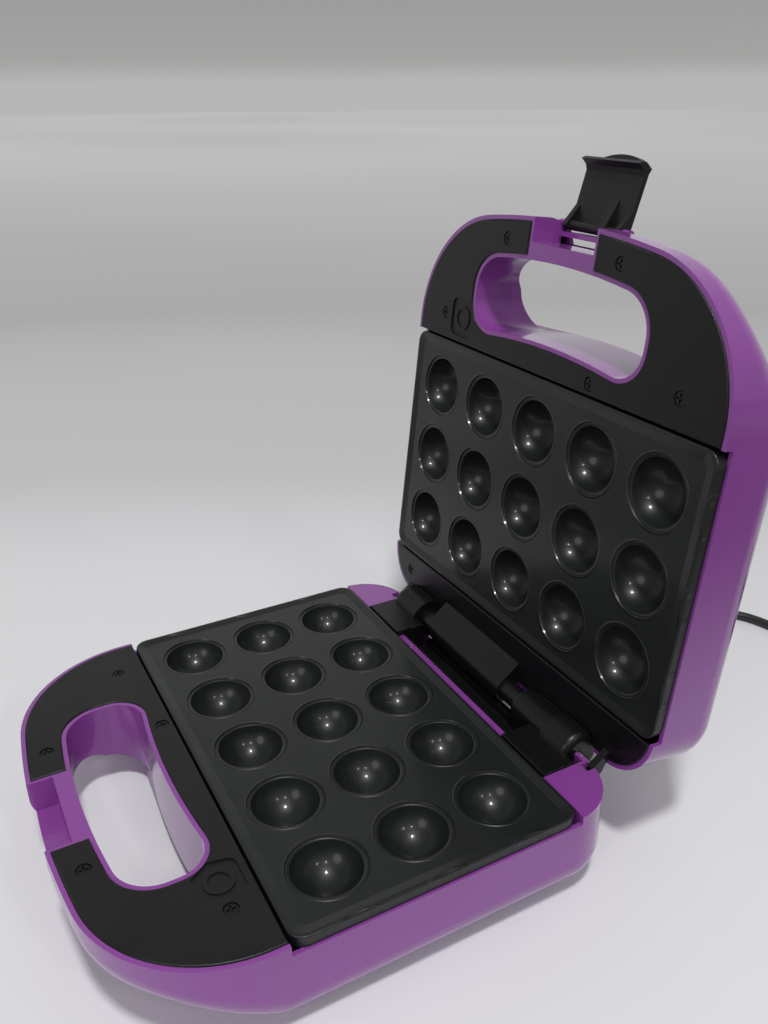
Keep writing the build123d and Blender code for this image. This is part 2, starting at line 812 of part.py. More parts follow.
def latch():
    """The latch as photographed, flipped out, drawn with the lid closed: plate, hook, finger tab and ribs."""
    def at(reach, rise):
        return (latch_y - reach, pivot_z + rise)

    outer_rise = latch_rise + latch_thickness
    root_top = latch_root_rise + latch_thickness
    inner_face = Polyline(
        at(latch_root_reach, root_top),
        at(-latch_barrel / 2, latch_barrel / 2),
        at(latch_root_reach, latch_root_rise),
        at(latch_length - 3, latch_rise - 0.6),
        at(latch_length - 0.6, latch_rise - 1.6),
        at(hook_reach, hook_drop),
        at(hook_back_reach, hook_back_rise),
    )
    bend_end = at(latch_length - 1.5, outer_rise)
    bend = ThreePointArc(at(hook_back_reach, hook_back_rise), at(bend_reach, bend_rise), bend_end)
    outer_face = Line(bend_end, at(latch_root_reach, root_top))
    body = side_prism(make_face(Wire([*inner_face.edges(), bend, outer_face])), -latch_half_x, latch_half_x)
    body += rod_x(-latch_half_x, latch_half_x, latch_y, pivot_z, latch_barrel)
    tab = polygon(
        at(latch_length - 2, latch_rise + 1),
        at(tab_reach, tab_rise),
        at(tab_reach - tab_thickness, tab_rise + tab_thickness),
        at(latch_length - 2, outer_rise),
    )
    crown_y = latch_y - tab_reach + tab_crown
    body += side_prism(tab, -latch_half_x, latch_half_x) & rod_z(0, crown_y, pivot_z, pivot_z + 20, tab_crown)
    side_rib = polygon(at(0, -gusset_drop), at(gusset_length, 3.8), at(gusset_length, 4.2), at(0, 2))
    middle_rib = polygon(
        at(0, -middle_gusset_drop),
        at(middle_gusset_length, 4.7),
        at(middle_gusset_length, 5.2),
        at(0, 2),
    )
    for side in (-1, 1):
        x0, x1 = sorted((side * (latch_half_x - gusset_thickness), side * latch_half_x))
        body += side_prism(side_rib, x0, x1)
    half = middle_gusset_thickness / 2
    body += side_prism(middle_rib, middle_gusset_x - half, middle_gusset_x + half)
    body -= rod_x(-latch_half_x - 1, latch_half_x + 1, latch_y, pivot_z, latch_pin_radius + running_gap)
    return body


def latch_pin():
    return rod_x(-bridge_half_x, bridge_half_x, latch_y, pivot_z, latch_pin_radius)


def hinge_pins():
    left = rod_x(-pin_end_x, left_knuckle_out + hinge_pin_grip, hinge_y, hinge_z, hinge_pin_radius)
    right = rod_x(right_knuckle_out - hinge_pin_grip, pin_end_x, hinge_y, hinge_z, hinge_pin_radius)
    return left + right


def lamp_lenses():
    group = Part()
    top = -depth
    for side in (-1, 1):
        lens = rod_z(side * lens_x, lens_y, top - lens_proud, top + wall, lens_radius)
        lens = fillet(lens.edges().group_by(Axis.Z)[0], lens_round)
        lens += rod_z(side * lens_x, lens_y, top + wall, top + wall + lens_flange_thickness, lens_flange)
        group += lens
    return group


def lamps():
    group = Part()
    base = wall + lens_flange_thickness - depth
    for side in (-1, 1):
        lamp = rod_z(side * lens_x, lens_y, base, base + lamp_length, lamp_radius)
        group += fillet(lamp.edges().group_by(Axis.Z)[0], lamp_round)
    return group


def thermostat():
    """A disc thermostat under the reflector, with its two tabs."""
    top = reflector_floor_z - reflector_thickness
    bottom = top - thermostat_height
    body = rod_z(thermostat_x, 0, bottom, top, thermostat_radius)
    length, width, thickness = thermostat_flange
    flange = RectangleRounded(length, width, width / 2 - 0.5)
    body += Pos(thermostat_x, 0, top - thickness) * extrude(flange, amount=thickness)
    tab_thickness_x, tab_width, tab_length = thermostat_tab
    for side in (-1, 1):
        x = thermostat_x + side * thermostat_tab_x
        half_x = tab_thickness_x / 2
        body += box(x - half_x, x + half_x, -tab_width / 2, tab_width / 2, bottom - tab_length, bottom)
    return body


def thermal_fuse():
    z = reflector_floor_z - reflector_thickness - fuse_radius
    fuse = rod_x(fuse_x - fuse_length / 2, fuse_x + fuse_length / 2, fuse_y, z, fuse_radius)
    return fillet(fuse.edges(), fuse_round)


def terminal_block():
    x, y, z = terminal_size
    base = wall - depth
    block = Pos(terminal_x, terminal_y, base + z / 2) * Box(x, y, z)
    block = fillet(block.edges().filter_by(Axis.Z), 1.0)
    wire_z = base + z / 2 - 1
    screw_z = base + z - terminal_screw_depth
    for step in (-1, 0, 1):
        place = terminal_x + step * terminal_pitch
        block -= rod_z(place, terminal_y, screw_z, base + z + 1, terminal_screw_radius)
        block -= rod_y(place, terminal_y - y, terminal_y + y, wire_z, terminal_wire_radius)
    return block


def hinge_leads():
    """The sleeved wires that pass through the hinge to the lid."""
    left = left_knuckle_in - leads_overlap
    return rod_x(left, right_knuckle_in - leads_overlap / 2, hinge_y, hinge_z, leads_radius)


def rubber_feet():
    group = Part()
    for x, y in feet_places():
        foot = rod_z(x, y, floor_z, foot_recess - depth, foot_radius)
        group += chamfer(foot.edges().group_by(Axis.Z)[0], foot_chamfer)
    return group


def strain_relief():
    """The moulded sleeve round the cord where it leaves the rear wall."""
    t = relief_flange_thickness
    inside = rear_y - wall - relief_gap
    outer_flange = rod_y(cord_x, rear_y, rear_y + t, cord_z, relief_flange)
    inner_flange = rod_y(cord_x, inside - t, inside, cord_z, relief_flange)
    neck = rod_y(cord_x, inside, rear_y, cord_z, relief_radius)
    taper = Rot(-90, 0, 0) * Cone(relief_radius, relief_tip_radius, relief_length - t)
    taper_y = rear_y + (relief_length + t) / 2
    sleeve = outer_flange + inner_flange + neck + Pos(cord_x, taper_y, cord_z) * taper
    for step in range(relief_slots):
        y0 = rear_y + relief_slot_first + step * relief_slot_step
        y1 = y0 + relief_slot_width
        slot = rod_y(cord_x, y0, y1, cord_z, 2 * relief_radius)
        slot -= rod_y(cord_x, y0 - 1, y1 + 1, cord_z, cord_diameter / 2 + relief_slot_wall)
        slot -= box(cord_x - 20, cord_x + 20, y0 - 1, y1 + 1, cord_z - relief_spine, cord_z + relief_spine)
        sleeve -= slot
    return sleeve


def turn_radii(points):
    """The radius of each corner: 0.45 of the shorter run, divided by the tangent of half the turn."""
    radii = []
    for before, here, after in zip(points, points[1:], points[2:]):
        run_in = Vector(*here) - Vector(*before)
        run_out = Vector(*after) - Vector(*here)
        turn = math.radians(run_in.get_angle(run_out))
        radii.append(0.45 * min(run_in.length, run_out.length) / math.tan(turn / 2))
    return radii


def tube_along(path):
    start = Plane(origin=path @ 0, z_dir=path % 0)
    return sweep(start * Circle(cord_diameter / 2), path=path)


def power_cord():
    radii = turn_radii(cord_route)
    print("cord corner radii", [round(r, 1) for r in radii])
    path = FilletPolyline(*cord_route, radius=radii)
    tube = tube_along(path)
    expected = math.pi * (cord_diameter / 2) ** 2 * path.length
    print("cord length", round(path.length, 1), "volume over the expected", round(tube.volume / expected, 4))
    return tube


def coil_point(turn):
    """A place on the coil: turns go in on the table, climb as they reverse, and come out above."""
    inward = turn if turn < coil_layer_turns else 2 * coil_layer_turns - turn
    radius = coil_radius - coil_pitch * inward
    climb = min(1.0, max(0.0, 2 * (turn - coil_layer_turns) + 0.5))
    climb = climb * climb * (3 - 2 * climb)
    start = Vector(*cord_route[-1])
    run = start - Vector(*cord_route[-2])
    first = math.atan2(run.Y, run.X) - math.pi / 2
    angle = first + 2 * math.pi * turn
    x = start.X + radius * math.cos(angle) - coil_radius * math.cos(first)
    y = start.Y + radius * math.sin(angle) - coil_radius * math.sin(first)
    return Vector(x, y, start.Z + coil_rise * climb)


def coil_way(turn):
    step = 0.02
    return (coil_point(turn + step) - coil_point(turn - step)).normalized()


def biarc(start, start_way, end, end_way):
    """Two arcs from one point to another, smooth where they join and along the ways given."""
    chord = end - start
    square = 2 * (start_way.dot(end_way) - 1)
    linear = -2 * chord.dot(start_way + end_way)
    constant = chord.dot(chord)
    reach = (-linear - math.sqrt(linear ** 2 - 4 * square * constant)) / (2 * square)
    joint = (start + start_way * reach + end - end_way * reach) * 0.5
    half = (joint - start).normalized()
    joint_way = half * (2 * half.dot(start_way)) - start_way
    return [TangentArc(start, joint, tangent=start_way), TangentArc(joint, end, tangent=joint_way)]


def coil_path():
    start = Vector(*cord_route[-1])
    start_way = (start - Vector(*cord_route[-2])).normalized()
    here = start + start_way * cord_diameter
    way = start_way
    edges = [Line(start, here)]
    spans = round(4 * coil_turns)
    for span in range(1, spans + 1):
        turn = span / 4
        there = coil_point(turn) + start_way * cord_diameter
        next_way = coil_way(turn)
        edges += biarc(here, way, there, next_way)
        here = there
        way = next_way
    edges.append(Line(here, here + way * coil_tail))
    return Wire(edges)


def cord_coil():
    path = coil_path()
    samples = round(path.length / 2)
    places = [path @ (i / samples) for i in range(samples + 1)]
    skip = round(samples * 4 * cord_diameter / path.length)
    gap = min((a - b).length for i, a in enumerate(places) for b in places[i + skip:]) - cord_diameter
    print("coil length", round(path.length, 1), "least gap to itself", round(gap, 2))
    return tube_along(path)


def coil_tie():
    """A flat strap round the turns, opposite the start of the coil."""
    inner = coil_point(coil_layer_turns - 0.5)
    outer = coil_point(0.5)
    across = (outer - inner).normalized()
    shift = (Vector(*cord_route[-1]) - Vector(*cord_route[-2])).normalized() * cord_diameter
    half_cord = cord_diameter / 2
    middle = (inner + outer) * 0.5 + shift
    low = cord_route[-1][2] - half_cord - tie_room
    high = cord_route[-1][2] + coil_rise + half_cord + tie_room
    width = (outer - inner).length + cord_diameter + 2 * tie_room
    height = high - low
    centre = Vector(middle.X, middle.Y, (low + high) / 2)
    strap = RectangleRounded(width + 2 * tie_thickness, height + 2 * tie_thickness, half_cord)
    strap -= RectangleRounded(width, height, half_cord - tie_thickness)
    facing = Plane(origin=centre, x_dir=across, z_dir=across.cross(Vector(0, 0, 1)))
    return extrude(facing * strap, amount=tie_width / 2, both=True)


def plug_plane():
    path = coil_path()
    return Plane(origin=path @ 1, x_dir=Vector(0, 0, 1).cross(path % 1), z_dir=path % 1)


def plug_body():
    """A flat two-pin plug with a tapered sleeve, lying beside the coil."""
    sleeve = Pos(0, 0, plug_sleeve / 2) * Cone(plug_sleeve_tip, plug_sleeve_base, plug_sleeve)
    rear_face = RectangleRounded(plug_rear_width, 2 * plug_rear_half_height, plug_rear_corner)
    front_face = RectangleRounded(plug_width, 2 * plug_half_height, plug_corner)
    rear = Pos(0, 0, plug_sleeve - plug_overlap) * rear_face
    front = Pos(0, 0, plug_sleeve + plug_length) * front_face
    body = loft([rear, front])
    return plug_plane() * (sleeve + body)


def plug_pins():
    pins = Part()
    face = plug_sleeve + plug_length
    for side in (-1, 1):
        pin = rod_z(side * plug_pin_spacing / 2, 0, face, face + plug_pin_length, plug_pin_radius)
        pins += fillet(pin.edges().group_by(Axis.Z)[-1], plug_pin_round)
    return plug_plane() * pins


def parts_at_rest():
    """Every piece by its name, drawn about the middle of the base's cooking face."""
    head_top = cover_top - head_gap
    pieces = {
        "base_casing": base_casing(),
        "base_handle_cover": handle_cover(),
        "hinge_bracket": hinge_bracket(),
        "base_plate": cooking_plate(),
        "base_heater": heater(),
        "base_reflector": reflector(),
        "base_plate_screws": plate_screws(),
        "base_cover_screws": screws(cover_screws, head_top, cover_screw_length),
        "thermostat": thermostat(),
        "thermal_fuse": thermal_fuse(),
        "terminal_block": terminal_block(),
        "hinge_leads": hinge_leads(),
        "rubber_feet": rubber_feet(),
        "cord_strain_relief": strain_relief(),
        "power_cord": power_cord(),
        "cord_coil": cord_coil(),
        "coil_tie": coil_tie(),
        "plug_body": plug_body(),
        "plug_pins": plug_pins(),
    }
    rear_places = [(-rear_screw_x, rear_screw_y), (rear_screw_x, rear_screw_y)]
    lid = {
        "lid_casing": lid_casing(),
        "lid_handle_cover": flip(handle_cover()),
        "lid_rear_cover": lid_rear_cover(),
        "lid_plate": flip(cooking_plate()),
        "lid_heater": flip(heater()),
        "lid_reflector": flip(reflector()),
        "lid_plate_screws": flip(plate_screws()),
        "lid_cover_screws": flip(screws(cover_screws, head_top, cover_screw_length)),
        "lid_rear_screws": flip(screws(rear_places, head_top, cover_screw_length)),
        "lamp_lenses": flip(lamp_lenses()),
        "lamps": flip(lamps()),
        "hinge_pins": hinge_pins(),
        "latch_pin": latch_pin(),
        "latch": latch(),
    }
    for name, shape in lid.items():
        pieces[name] = open_lid(shape)
    return pieces


pieces = parts_at_rest()
back_y = pieces["lid_casing"].bounding_box().max.Y
casing_front_y = pieces["base_casing"].bounding_box().min.Y
middle_y = (casing_front_y + back_y) / 2
for name, shape in pieces.items():
    export_step(Pos(0, -middle_y, -floor_z) * shape, f"parts/{name}.step")
print("middle", round(middle_y, 3), "hinge", round(hinge_y - middle_y, 3), round(hinge_z - floor_z, 3))
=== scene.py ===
import bpy
import math
from mathutils import Matrix, Vector


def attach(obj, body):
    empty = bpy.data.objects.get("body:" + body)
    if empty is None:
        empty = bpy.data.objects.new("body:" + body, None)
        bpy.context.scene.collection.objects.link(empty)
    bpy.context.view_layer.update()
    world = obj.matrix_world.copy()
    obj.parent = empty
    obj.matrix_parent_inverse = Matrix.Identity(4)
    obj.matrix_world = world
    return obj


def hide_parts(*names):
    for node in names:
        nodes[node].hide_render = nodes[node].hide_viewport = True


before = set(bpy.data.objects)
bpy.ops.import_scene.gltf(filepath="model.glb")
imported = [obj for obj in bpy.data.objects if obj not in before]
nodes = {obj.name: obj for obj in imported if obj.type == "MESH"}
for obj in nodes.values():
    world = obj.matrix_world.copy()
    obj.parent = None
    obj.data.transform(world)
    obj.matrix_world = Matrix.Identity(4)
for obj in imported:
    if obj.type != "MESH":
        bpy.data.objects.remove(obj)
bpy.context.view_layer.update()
scene = bpy.context.scene
scene.view_settings.view_transform = "Standard"

# Places from the part's source, in millimetres about the middle of the base's cooking face
middle_y = 11.723
floor_z = -47.0
hinge_y = 93.4
hinge_z = -3.4

# The cord's points, as in the part's source
cord_diameter = 5.6
cord_x = -35.0
cord_z = -23.0
relief_end = 121.4
bed_z = floor_z + cord_diameter / 2
cord_route = [
    (cord_x, relief_end, cord_z),
    (cord_x, relief_end + 24, cord_z),
    (cord_x - 3, relief_end + 50, cord_z - 8),
    (cord_x - 9, relief_end + 76, cord_z - 16),
    (cord_x - 13, relief_end + 102, bed_z),
    (cord_x - 11, relief_end + 134, bed_z),
    (cord_x - 2, relief_end + 165, bed_z),
    (cord_x + 14, relief_end + 190, bed_z),
    (cord_x + 40, relief_end + 200, bed_z),
    (cord_x + 68, relief_end + 197, bed_z + 0.6),
    (cord_x + 94, relief_end + 190, bed_z + 1.3),
]
coil_radius = 37.0
coil_pitch = 6.4
coil_rise = 6.3
coil_layer_turns = 2
coil_turns = 4.25
coil_tail = 26.0
coil_steps = 16
coil_last_step = 0.02

# The cavities' pitch, and how far from the middle row the rings are drawn, in metres
cavity_pitch_x = 0.042
cavity_pitch_y = 0.03984
cavity_far_y = 0.0592

# The narrow ring round each cavity, in metres: its height, what share of it stands at which radius, and
# the radius where the ramp that draws it ends
ring_height = 0.00045
ring_profile = [(0.0151, 0.0), (0.0159, 1.0), (0.0169, 1.0), (0.0176, 0.0)]
ring_span = 0.02

# The camera, in the frame's metres, with its lens in millimetres
eye_place = Vector((0.332261, -0.157182, 0.328599))
eye_right = Vector((0.48048, 0.87698, -0.00588))
eye_forward = Vector((-0.79454, 0.43246, -0.42623))
focal_length = 32.147
sensor_height = 36.0
lens_shift_x = -0.00542
lens_shift_y = 0.00018


def in_frame(point):
    """From the source's millimetres to the frame's metres."""
    return Vector((point[0], point[1] - middle_y, point[2] - floor_z)) / 1000


# How the lid lies back at rest, and the turn that closes it
hinge = in_frame((0, hinge_y, hinge_z))
lid_open = math.radians(96.5)
closing = Matrix.Translation(hinge) @ Matrix.Rotation(lid_open, 4, "X") @ Matrix.Translation(-hinge)


def camera():
    up = eye_right.cross(eye_forward).normalized()
    right = eye_forward.cross(up).normalized()
    lens = bpy.data.cameras.new("view")
    lens.sensor_fit = "VERTICAL"
    lens.sensor_height = sensor_height
    lens.lens = focal_length
    lens.shift_x = lens_shift_x
    lens.shift_y = lens_shift_y
    lens.clip_start = 0.01
    eye = bpy.data.objects.new("view", lens)
    turn = Matrix((right, up, -eye_forward)).transposed().to_4x4()
    eye.matrix_world = Matrix.Translation(eye_place) @ turn
    scene.collection.objects.link(eye)
    scene.camera = eye


# Nodes


class Nodes:
    """Short calls that add nodes to a tree. A value is a number, or the output of another node."""

    def __init__(self, tree, coordinates="Object"):
        self.tree = tree
        self.place = self.add("TexCoord").outputs[coordinates]

    def add(self, kind, **settings):
        node = self.tree.nodes.new("ShaderNode" + kind)
        for name, value in settings.items():
            setattr(node, name, value)
        return node

    def feed(self, socket, value):
        if isinstance(value, bpy.types.NodeSocket):
            self.tree.links.new(value, socket)
        else:
            socket.default_value = value

    def math(self, operation, *values):
        node = self.add("Math", operation=operation)
        for socket, value in zip(node.inputs, values):
            self.feed(socket, value)
        return node.outputs["Value"]

    def vectors(self, operation, *values):
        node = self.add("VectorMath", operation=operation)
        for socket, value in zip(node.inputs, values):
            self.feed(socket, value)
        return node.outputs

    def split(self, vector):
        node = self.add("SeparateXYZ")
        self.feed(node.inputs["Vector"], vector)
        return node.outputs

    def length(self, vector):
        return self.vectors("LENGTH", vector)["Value"]

    def along(self, way):
        """How far a place, or a direction, lies along a way."""
        return self.vectors("DOT_PRODUCT", self.place, way)["Value"]

    def moved(self, **moves):
        """The place after a Mapping node's Location, Rotation or Scale."""
        node = self.add("Mapping")
        for name, value in moves.items():
            self.feed(node.inputs[name], value)
        self.feed(node.inputs["Vector"], self.place)
        return node.outputs["Vector"]

    def noise(self, scale, detail=3.0, roughness=0.5, place=None):
        node = self.add("TexNoise")
        self.feed(node.inputs["Scale"], scale)
        self.feed(node.inputs["Detail"], detail)
        self.feed(node.inputs["Roughness"], roughness)
        self.feed(node.inputs["Vector"], self.place if place is None else place)
        return node.outputs["Fac"]

    def cells(self, scale):
        node = self.add("TexVoronoi")
        self.feed(node.inputs["Scale"], scale)
        self.feed(node.inputs["Vector"], self.place)
        return node.outputs["Distance"]

    def waves(self, scale, direction):
        node = self.add("TexWave", bands_direction=direction)
        self.feed(node.inputs["Scale"], scale)
        self.feed(node.inputs["Vector"], self.place)
        return node.outputs["Fac"]

    def smooth_step(self, value, low, high):
        node = self.add("MapRange", interpolation_type="SMOOTHSTEP")
        self.feed(node.inputs["From Min"], low)
        self.feed(node.inputs["From Max"], high)
        self.feed(node.inputs["Value"], value)
        return node.outputs["Result"]

    def ramp(self, factor, stops):
        """A colour ramp; each stop is a place from 0 to 1 with a colour or a level of grey."""
        node = self.add("ValToRGB")
        elements = node.color_ramp.elements
        while len(elements) < len(stops):
            elements.new(0.5)
        for element, (at, value) in zip(elements, stops):
            element.position = at
            element.color = (*value, 1) if isinstance(value, tuple) else (value, value, value, 1)
        self.feed(node.inputs["Fac"], factor)
        return node.outputs["Color"]

    def seen(self):
        """1 for what the camera itself sees, and 0 for reflections and bounced light."""
        return self.add("LightPath").outputs["Is Camera Ray"]


# Materials

cloud_low = 0.3
cloud_high = 0.7


def scaled(colour, factor):
    return tuple(min(1.0, c * factor) for c in colour)


class Shade(Nodes):
    """A material on one Principled BSDF, with constants on the shader's own sockets."""

    def __init__(self, name, colour, roughness, **settings):
        self.material = bpy.data.materials.new(name)
        self.material.use_nodes = True
        super().__init__(self.material.node_tree)
        self.surface = self.tree.nodes["Principled BSDF"]
        self.colour = colour
        self.set("Base Color", (*colour, 1))
        self.set("Roughness", roughness)
        for socket, value in settings.items():
            self.set(socket.replace("_", " "), value)
        self.normal = None

    def set(self, socket, value):
        self.feed(self.surface.inputs[socket], value)

    def cloud(self, factor, darker, lighter):
        """Lets the colour drift between a darker and a lighter one."""
        low = scaled(self.colour, darker)
        high = scaled(self.colour, lighter)
        self.set("Base Color", self.ramp(factor, [(cloud_low, low), (cloud_high, high)]))

    def wear(self, factor, low, high):
        """Lets the roughness drift between two values."""
        self.set("Roughness", self.ramp(factor, [(cloud_low, low), (cloud_high, high)]))

    def bump(self, height, depth, strength=1.0):
        """Adds relief of a depth in metres."""
        node = self.add("Bump")
        self.feed(node.inputs["Strength"], strength)
        self.feed(node.inputs["Distance"], depth)
        self.feed(node.inputs["Height"], height)
        if self.normal is not None:
            self.feed(node.inputs["Normal"], self.normal)
        self.normal = node.outputs["Normal"]
        self.set("Normal", self.normal)


def gloss_moulding(name, colour):
    """Polished moulded plastic: a faint ripple, and a slight cloud in the colour and the gloss."""
    shade = Shade(name, colour, 0.24, IOR=1.48, Coat_Weight=0.6, Coat_Roughness=0.06, Coat_IOR=1.5)
    shade.cloud(shade.noise(scale=9, detail=4), darker=0.93, lighter=1.07)
    shade.wear(shade.noise(scale=26, detail=4, roughness=0.6), low=0.22, high=0.27)
    shade.bump(shade.noise(scale=38, detail=2), depth=0.00008)
    return shade.material


def satin_moulding(name, colour, roughness, grain=0.00003):
    """Moulded plastic with a spark-eroded grain, shinier where hands rub it."""
    shade = Shade(name, colour, roughness, IOR=1.38)
    shade.cloud(shade.noise(scale=14, detail=5), darker=0.85, lighter=1.2)
    rubbed = shade.noise(scale=28, detail=5, roughness=0.6)
    shade.wear(rubbed, low=roughness - 0.07, high=roughness + 0.09)
    shade.bump(shade.cells(scale=2600), depth=grain, strength=0.6)
    shade.bump(shade.noise(scale=900, detail=4), depth=grain * 0.5)
    return shade.material


def rings(shade, lid):
    """A factor that is high on a narrow ring round each of the plate's cavities."""
    place = shade.place
    if lid:
        place = shade.moved(Rotation=(lid_open, 0, 0), Location=closing.translation)
    places = shade.split(place)
    aside = shade.math("WRAP", places["X"], cavity_pitch_x / 2, -cavity_pitch_x / 2)
    back = shade.math("ADD", places["Y"], middle_y / 1000)
    back = shade.math("MAXIMUM", back, -cavity_far_y)
    back = shade.math("MINIMUM", back, cavity_far_y)
    back = shade.math("WRAP", back, cavity_pitch_y / 2, -cavity_pitch_y / 2)
    join = shade.add("CombineXYZ")
    shade.feed(join.inputs["X"], aside)
    shade.feed(join.inputs["Y"], back)
    reach = shade.math("MULTIPLY", shade.length(join.outputs["Vector"]), 1 / ring_span)
    return shade.ramp(reach, [(radius / ring_span, level) for radius, level in ring_profile])


def nonstick(name, lid):
    """Black non-stick coat over cast aluminium: satin, with the casting's fine unevenness."""
    colour = (0.0105, 0.0118, 0.0116)
    shade = Shade(name, colour, 0.4, IOR=1.36, Coat_Weight=0.3, Coat_Roughness=0.12, Coat_IOR=1.45)
    shade.cloud(shade.noise(scale=24, detail=6, roughness=0.6), darker=0.82, lighter=1.25)
    shade.wear(shade.noise(scale=60, detail=6, roughness=0.65), low=0.34, high=0.46)
    shade.bump(rings(shade, lid), depth=ring_height)
    shade.bump(shade.noise(scale=1500, roughness=0.6), depth=0.000012)
    shade.bump(shade.noise(scale=240), depth=0.00003)
    return shade.material


def sheet_metal(name, colour, roughness, stretch):
    """Bare metal with the fine lines of its rolling or turning."""
    shade = Shade(name, colour, roughness, Metallic=1.0)
    lines = shade.noise(scale=420, detail=5, roughness=0.7, place=shade.moved(Scale=stretch))
    shade.cloud(lines, darker=0.88, lighter=1.06)
    shade.wear(lines, low=roughness - 0.08, high=roughness + 0.12)
    shade.bump(lines, depth=0.000012)
    return shade.material


def heater_sheath():
    """Steel sheath, tinted by heat."""
    colour = (0.3, 0.29, 0.28)
    blued = (0.2, 0.19, 0.2)
    straw = (0.36, 0.31, 0.26)
    shade = Shade("heater sheath", colour, 0.5, Metallic=0.9)
    tint = shade.noise(scale=35, detail=5, roughness=0.7)
    shade.set("Base Color", shade.ramp(tint, [(0.3, blued), (0.55, colour), (0.75, straw)]))
    shade.bump(shade.noise(scale=1200), depth=0.00002)
    return shade.material


def soft_rubber(name, colour, roughness):
    shade = Shade(name, colour, roughness, IOR=1.5)
    shade.cloud(shade.noise(scale=40, detail=4), darker=0.8, lighter=1.3)
    shade.wear(shade.noise(scale=120, detail=4), low=roughness - 0.08, high=roughness + 0.08)
    shade.bump(shade.noise(scale=2200), depth=0.000012)
    return shade.material


def woven_sleeve():
    """Pale glass-fibre sleeve, with its warp and weft."""
    colour = (0.78, 0.75, 0.68)
    shade = Shade("woven sleeve", colour, 0.8)
    warp = shade.waves(520, "X")
    weft = shade.waves(520, "DIAGONAL")
    shade.set("Base Color", shade.ramp(warp, [(0.2, scaled(colour, 0.75)), (0.8, colour)]))
    shade.bump(warp, depth=0.00006)
    shade.bump(weft, depth=0.00005)
    return shade.material


def clear_red():
    shade = Shade("clear red", (0.5, 0.03, 0.02), 0.12, IOR=1.49, Transmission_Weight=0.75)
    shade.cloud(shade.noise(scale=90), darker=0.9, lighter=1.0)
    shade.bump(shade.noise(scale=500, detail=2), depth=0.00001)
    return shade.material


def lamp_glass():
    shade = Shade("lamp glass", (0.95, 0.8, 0.7), 0.05, IOR=1.5, Transmission_Weight=0.9)
    shade.bump(shade.noise(scale=300, detail=2), depth=0.00002)
    return shade.material


purple = gloss_moulding("purple plastic", (0.235, 0.05, 0.29))
cover_black = satin_moulding("black cover plastic", (0.0075, 0.0075, 0.0078), 0.4)
hinge_black = satin_moulding("black hinge plastic", (0.0045, 0.0045, 0.0048), 0.3, grain=0.00001)
latch_black = satin_moulding("black latch plastic", (0.009, 0.009, 0.009), 0.38)
plug_black = satin_moulding("plug plastic", (0.014, 0.014, 0.014), 0.4)
white_moulding = satin_moulding("white plastic", (0.72, 0.7, 0.65), 0.45)
cord_black = soft_rubber("cord jacket", (0.014, 0.014, 0.015), 0.42)
rubber = soft_rubber("foot rubber", (0.02, 0.02, 0.02), 0.6)
base_coat = nonstick("nonstick coat", lid=False)
lid_coat = nonstick("lid nonstick coat", lid=True)
aluminium = sheet_metal("pressed aluminium", (0.78, 0.78, 0.79), 0.32, stretch=(1, 12, 1))
steel = sheet_metal("zinc-plated steel", (0.58, 0.58, 0.6), 0.3, stretch=(8, 1, 1))
screw_black = sheet_metal("blackened steel", (0.05, 0.05, 0.052), 0.36, stretch=(3, 3, 1))
nickel = sheet_metal("nickel-plated brass", (0.68, 0.65, 0.58), 0.22, stretch=(1, 1, 10))

finish = {
    "base_casing": purple,
    "lid_casing": purple,
    "base_handle_cover": cover_black,
    "lid_handle_cover": cover_black,
    "lid_rear_cover": hinge_black,
    "hinge_bracket": hinge_black,
    "latch": latch_black,
    "base_plate": base_coat,
    "lid_plate": lid_coat,
    "base_reflector": aluminium,
    "lid_reflector": aluminium,
    "base_heater": heater_sheath(),
    "lid_heater": heater_sheath(),
    "base_cover_screws": screw_black,
    "lid_cover_screws": screw_black,
    "lid_rear_screws": screw_black,
    "base_plate_screws": steel,
    "lid_plate_screws": steel,
    "hinge_pins": steel,
    "latch_pin": steel,
    "thermostat": steel,
    "thermal_fuse": woven_sleeve(),
    "terminal_block": white_moulding,
    "hinge_leads": cord_black,
    "rubber_feet": rubber,
    "cord_strain_relief": cord_black,
    "coil_tie": plug_black,
    "plug_body": plug_black,
    "plug_pins": nickel,
    "lamp_lenses": clear_red(),
    "lamps": lamp_glass(),
}
for name, material in finish.items():
    for slot in nodes[name].material_slots:
        slot.material = material


# Cord


def coil_point(turn, widen=1.0):
    """A place on the coil: turns go in on the table, climb as they reverse, and come out above."""
    inward = turn if turn < coil_layer_turns else 2 * coil_layer_turns - turn
    radius = (coil_radius - coil_pitch * inward) * widen
    climb = min(1.0, max(0.0, 2 * (turn - coil_layer_turns) + 0.5))
    climb = climb * climb * (3 - 2 * climb)
    start = Vector(cord_route[-1])
    run = start - Vector(cord_route[-2])
    first = math.atan2(run.y, run.x) - math.pi / 2
    angle = first + 2 * math.pi * turn
    x = start.x + radius * math.cos(angle) - coil_radius * math.cos(first)
    y = start.y + radius * math.sin(angle) - coil_radius * math.sin(first)
    shift = run.normalized() * cord_diameter
    return Vector((x, y, start.z + coil_rise * climb)) + shift


def cord_points():
    points = [Vector(p) for p in cord_route]
    widen = 1 / math.cos(math.pi / coil_steps)
    count = round(coil_turns * coil_steps)
    for step in range(1, count + 1):
        points.append(coil_point(step / coil_steps, widen))
    last = coil_point(coil_turns)
    way = (last - coil_point(coil_turns - coil_last_step)).normalized()
    points.append(last + way * coil_tail)
    return [in_frame(p) for p in points]


